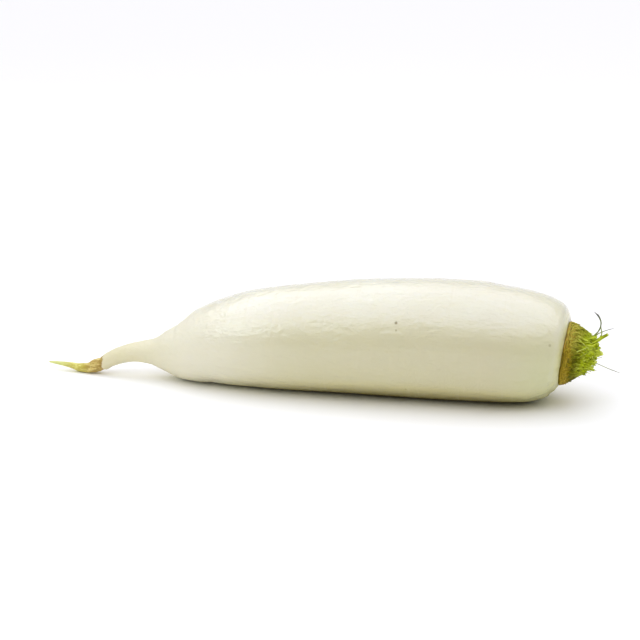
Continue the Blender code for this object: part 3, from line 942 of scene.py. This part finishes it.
def add_dome(bunch):
    """The knobbly mound that the stalks stand on."""
    rows, sides = 34, 150
    first = len(bunch.vertices)
    for row in range(rows):
        share = row / (rows - 1)
        spread = math.cos(share * math.pi / 2) ** 0.8 * DOME_RADIUS if row < rows - 1 else 0.3 * MM
        for k in range(sides):
            angle = 2 * math.pi * k / sides
            c, s = math.cos(angle), math.sin(angle)
            knobs = noise.noise(Vector((c * 9, s * 9, share * 8)))
            small = noise.noise(Vector((c * 26, s * 26, share * 20)))
            rough = (0.5 * knobs + 0.25 * small) * MM * min(1.0, spread / (3 * MM))
            radius = max(spread + rough, 0.1 * MM)
            lift = dome_height(spread) - DOME_SINK * (1 - share) ** 4 + 0.3 * MM * small
            bunch.point(Vector((c * radius, s * radius, lift)), 0.35 + 0.25 * knobs, 0.15, 0.0)
    bunch.faces.extend(grid_faces(rows, sides, first))
    foot = bunch.point(Vector((0, 0, -DOME_SINK)), 0.0, 0.0, 0.0)
    top = bunch.point(Vector((0, 0, DOME_HEIGHT + 0.1 * MM)), 0.15, 0.1, 0.0)
    bunch.faces.extend(fan(first, sides, foot, at_foot=True))
    bunch.faces.extend(fan(first + (rows - 1) * sides, sides, top))


def reach(up):
    """How far out from the foot of the bunch the stalks end, by their height on the crown."""
    peak = math.exp(-(((up / MM - TRIM_PEAK_UP) / TRIM_PEAK_SPREAD) ** 2))
    return (TRIM_REACH + TRIM_PEAK * peak) * MM


def trimmed(foot, direction, length, draw):
    """The tip of a piece of this length, or where the trimming stopped it."""
    tip = foot + direction * length
    limit = reach(tip.x) * draw.uniform(0.78, 1.18)
    if tip.z > limit > foot.z:
        tip = foot + direction * max((limit - foot.z) / direction.z, 1.2 * MM)
    return tip


def add_scales(bunch):
    """The broad bases of the oldest stalks, cut down to a fringe that hugs the collar and the mound."""
    draw = random.Random(23)
    for k in range(SCALE_COUNT):
        rank = (k + 0.5) / SCALE_COUNT
        height = blend((-5.2, 5.4), rank**0.9) + draw.uniform(-0.7, 0.9)
        radial = spiral(k, 0.25, draw)
        length = draw.choice((1.2, 1.8, 2.4, 3.4, 4.4)) * draw.uniform(0.8, 1.2)
        low, high = height * MM, (height + length) * MM
        foot = radial * (flank_radius(low) - 0.9 * MM) + Vector((0, 0, low))
        sideways = beside(radial) * MM * draw.uniform(-1.9, 1.9)
        tip_radius = flank_radius(high) + MM * draw.uniform(-0.6, 0.25)
        bunch.blade(
            foot,
            radial * tip_radius + Vector((0, 0, high)) + sideways,
            width=MM * draw.choice((0.6, 0.9, 1.4, 2.2, 2.9)) * draw.uniform(0.8, 1.1),
            thickness=MM * draw.uniform(0.5, 1.0),
            out=radial,
            curl=MM * draw.uniform(-0.5, 0.1),
            tint=draw.random() ** 2 * ramp(height, -4.0, 3.0),
            blunt=draw.uniform(0.1, 0.6),
        )


def slope_shred(radial, aside, length, rank, draw):
    """The foot and tip of a shred along the slope, with its foot drawn back into the mound."""
    height = blend((-1.6 * MM, 9.2 * MM), (rank / SLOPE_SHARE) ** 0.9)
    splay = draw.uniform(-0.5, 0.1) - 0.45 * radial.x
    direction = (radial * splay + aside + Vector((0, 0, 1))).normalized()
    tip = radial * (flank_radius(height) + MM * draw.uniform(-1.1, 0.6)) + Vector((0, 0, height))
    foot = tip - direction * length - radial * 0.7 * MM
    for _ in range(12):
        if foot.z < dome_height(foot.to_2d().length) - 0.4 * MM:
            break
        foot -= direction * 0.4 * MM
    return foot, tip


def top_shred(radial, aside, length, draw):
    """The foot and tip of a shred among the cut stalks."""
    radius = 10.0 * MM * math.sqrt(draw.random())
    direction = (radial * draw.uniform(-0.2, 0.5) + aside + Vector((0, 0, 1))).normalized()
    foot = radial * radius + Vector((0, 0, dome_height(radius) - 0.5 * MM))
    return foot, trimmed(foot, direction, length * 1.1, draw)


def add_shreds(bunch):
    """Many thin shreds of torn leaf bases: along the slope above, fanned out below, and on top."""
    draw = random.Random(41)
    for k in range(SHRED_COUNT):
        rank = (k + 0.5) / SHRED_COUNT
        radial = spiral(k, 0.2, draw)
        aside = beside(radial) * draw.uniform(-0.55, 0.55)
        length = draw.choice((2.6, 3.4, 4.4, 6.0)) * draw.uniform(0.8, 1.2) * MM
        if rank < SLOPE_SHARE:
            foot, tip = slope_shred(radial, aside, length, rank, draw)
        else:
            foot, tip = top_shred(radial, aside, length, draw)
        lively = draw.random() ** 1.3
        bunch.blade(
            foot,
            tip,
            width=MM * draw.choice((0.5, 0.7, 0.9, 1.3, 1.9, 2.3)) * draw.uniform(0.8, 1.15),
            thickness=MM * draw.uniform(0.35, 0.7),
            out=radial,
            curl=MM * draw.uniform(-0.9, 0.5),
            tint=lively * (0.3 + 0.7 * rank),
            blunt=draw.choice((0.08, 0.1, 0.3, 0.6)),
            dry=draw.choice((0.0, 0.0, 0.0, 0.8)),
        )


def add_ranked_stalks(bunch):
    """The cut stalks, from the broad old ones at the rim to the young ones in the middle."""
    draw = random.Random(11)
    for k in range(RANKED_COUNT):
        rank = (k + 0.5) / RANKED_COUNT
        radial = spiral(k, 0.1, draw)
        radius = RANKED_RADIUS * math.sqrt(1 - rank)
        outer = (radius / RANKED_RADIUS) ** 2
        splay = blend((0.22, -0.28), outer) + draw.uniform(-0.12, 0.12)
        sideways = beside(radial) * draw.uniform(-0.2, 0.2)
        direction = (radial * splay + sideways + Vector((0, 0, 1))).normalized()
        length = blend((5.6 * MM, 2.2 * MM), outer) * draw.uniform(0.5, 1.3)
        width = blend((2.1 * MM, 2.9 * MM), outer) * draw.uniform(0.6, 1.2)
        surface = radial * radius + Vector((0, 0, dome_height(radius)))
        bunch.stalk(
            surface - direction * 1.6 * MM,
            trimmed(surface, direction, length, draw),
            width=width,
            flatness=blend((0.85, 0.5), outer) * draw.uniform(0.8, 1.1),
            taper=draw.uniform(0.55, 0.98),
            bow=MM * draw.uniform(-0.3, 0.6),
            slant=draw.uniform(-0.9, 0.9),
            tint=draw.random() ** 1.2 * (1.0 - 0.5 * outer),
            ribs=draw.choice((3, 4, 5)),
            twist=draw.uniform(0, 6),
        )


def above_collar(point):
    return point - Vector((0, 0, BUNCH_FOOT))


def add_long_stalks(bunch):
    draw = random.Random(3)
    for foot, tip, width, paleness, dry in LONG_STALKS:
        bunch.stalk(
            above_collar(crown_point(*foot)),
            above_collar(crown_point(*tip)),
            width=width * MM,
            flatness=0.78,
            taper=0.82,
            bow=draw.uniform(0.1, 0.5) * MM,
            slant=draw.uniform(-0.4, 0.6),
            tint=paleness,
            ribs=5,
            twist=draw.uniform(0, 6),
            dry=dry,
            rings=14,
            sides=20,
        )


def add_leaves(bunch):
    for foot, tip, width, paleness, dry in LEAVES:
        foot, tip = above_collar(crown_point(*foot)), above_collar(crown_point(*tip))
        bunch.blade(
            foot,
            tip,
            width=width * MM,
            thickness=0.7 * MM,
            out=Vector((foot.x, foot.y, 0.0)).normalized(),
            curl=0.3 * MM,
            tint=paleness,
            blunt=0.12,
            dry=dry,
            rings=12,
        )


def make_bunch(place):
    bunch = Bunch()
    add_dome(bunch)
    add_scales(bunch)
    add_shreds(bunch)
    add_ranked_stalks(bunch)
    add_long_stalks(bunch)
    add_leaves(bunch)
    vertices = [place @ (v + Vector((0, 0, BUNCH_FOOT))) for v in bunch.vertices]
    made = mesh_object("stalks_fine", vertices, bunch.faces, bunch.attributes)
    made.data.set_sharp_from_angle(angle=math.radians(50))
    made.data.materials.append(stalk_material())
    return made


def make_fibres(place):
    """The stringy fibres: slightly flat tubes along smooth routes, with tapered ends."""
    vertices, faces, along, dryness = [], [], [], []
    for (thick, thin, dry), *route in FIBRES:
        known = np.array([tuple(crown_point(*p)) for p in route])
        at = np.linspace(0, len(route) - 1, RINGS_PER_FIBRE_POINT * len(route))
        line = np.column_stack([smooth_through(at, range(len(route)), known[:, i]) for i in range(3)])
        heading = np.gradient(line, axis=0)
        heading /= np.linalg.norm(heading, axis=1)[:, None]
        first = len(vertices)
        for row, (spot, way) in enumerate(zip(line, heading)):
            share = row / (len(line) - 1)
            x = np.cross(way, (0.3, 0.9, 0.2))
            x /= np.linalg.norm(x)
            y = np.cross(way, x)
            size = blend((thick, thin), share) * (1 - 0.75 * ramp(share, 0.86, 1.0)) * MM
            for k in range(FIBRE_SIDES):
                angle = 2 * math.pi * k / FIBRE_SIDES
                radius = size * (1 + 0.15 * math.cos(2 * angle + 5 * share))
                vertices.append(place @ Vector(spot + (x * math.cos(angle) + y * math.sin(angle)) * radius))
                along.append(share)
                dryness.append(dry)
        faces.extend(grid_faces(len(line), FIBRE_SIDES, first))
        faces.extend(caps(first, first + (len(line) - 1) * FIBRE_SIDES, FIBRE_SIDES))
    fibres = mesh_object("fibres_fine", vertices, faces, {"along": along, "dry": dryness})
    fibres.data.materials.append(fibre_material())
    return fibres


# The setting: a pale surface, a bright sky above it and soft lamps


def make_sky():
    world = bpy.data.worlds.new("studio")
    world.use_nodes = True
    tree = world.node_tree
    background = tree.nodes["Background"]
    place = tree.nodes.new("ShaderNodeTexCoord")
    split = tree.nodes.new("ShaderNodeSeparateXYZ")
    sky = tree.nodes.new("ShaderNodeValToRGB")
    while len(sky.color_ramp.elements) < len(SKY):
        sky.color_ramp.elements.new(0.5)
    for element, (height, colour) in zip(sky.color_ramp.elements, SKY):
        element.position = height
        element.color = (*(value / SKY_STRENGTH for value in colour), 1.0)
    tree.links.new(place.outputs["Generated"], split.inputs[0])
    tree.links.new(split.outputs["Z"], sky.inputs[0])
    tree.links.new(sky.outputs[0], background.inputs["Color"])
    background.inputs["Strength"].default_value = SKY_STRENGTH
    bpy.context.scene.world = world


def make_lamps():
    for name, size, energy, colour, place, aim in LAMPS:
        lamp = bpy.data.lights.new(name, "AREA")
        lamp.shape = "RECTANGLE"
        lamp.size, lamp.size_y = size
        lamp.energy = energy
        lamp.color = colour
        lit = bpy.data.objects.new(name, lamp)
        lit.location = place
        lit.rotation_euler = (Vector(place) - Vector(aim)).to_track_quat("Z", "Y").to_euler()
        lit.visible_camera = False
        bpy.context.scene.collection.objects.link(lit)


def make_floor():
    bpy.ops.mesh.primitive_plane_add(size=FLOOR_SIZE, location=(0, 0, -FLOOR_DROP))
    floor = bpy.context.object
    floor.name = "floor"
    n = Nodes("pale_floor")
    floor.data.materials.append(n.finish(Base_Color=FLOOR_COLOUR, Roughness=0.9, Specular_IOR_Level=0.1))


def make_camera():
    camera = bpy.data.objects.new("camera", bpy.data.cameras.new("camera"))
    level = math.cos(CAMERA_ELEVATION)
    back = Vector(
        (math.sin(CAMERA_AZIMUTH) * level, -math.cos(CAMERA_AZIMUTH) * level, math.sin(CAMERA_ELEVATION))
    )
    camera.location = CAMERA_AIM + back * CAMERA_DISTANCE
    camera.rotation_euler = back.to_track_quat("Z", "Y").to_euler()
    camera.data.sensor_width = CAMERA_SENSOR
    camera.data.lens = CAMERA_LENS
    camera.data.clip_start, camera.data.clip_end = 0.01, 50.0
    bpy.context.scene.collection.objects.link(camera)
    bpy.context.scene.camera = camera
    bpy.context.scene.view_settings.view_transform = "Standard"


def main():
    place = crown_matrix()
    for piece, node, slot in (
        (make_root(), "root", "radish_skin"),
        (make_collar(place), "crown_collar", "radish_cork"),
        (make_bunch(place), "leaf_stalks", "radish_stalk"),
        (make_fibres(place), "leaf_stalks", "radish_stalk"),
    ):
        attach(piece, "root")
        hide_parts(node)
    make_sky()
    make_lamps()
    make_floor()
    make_camera()


main()
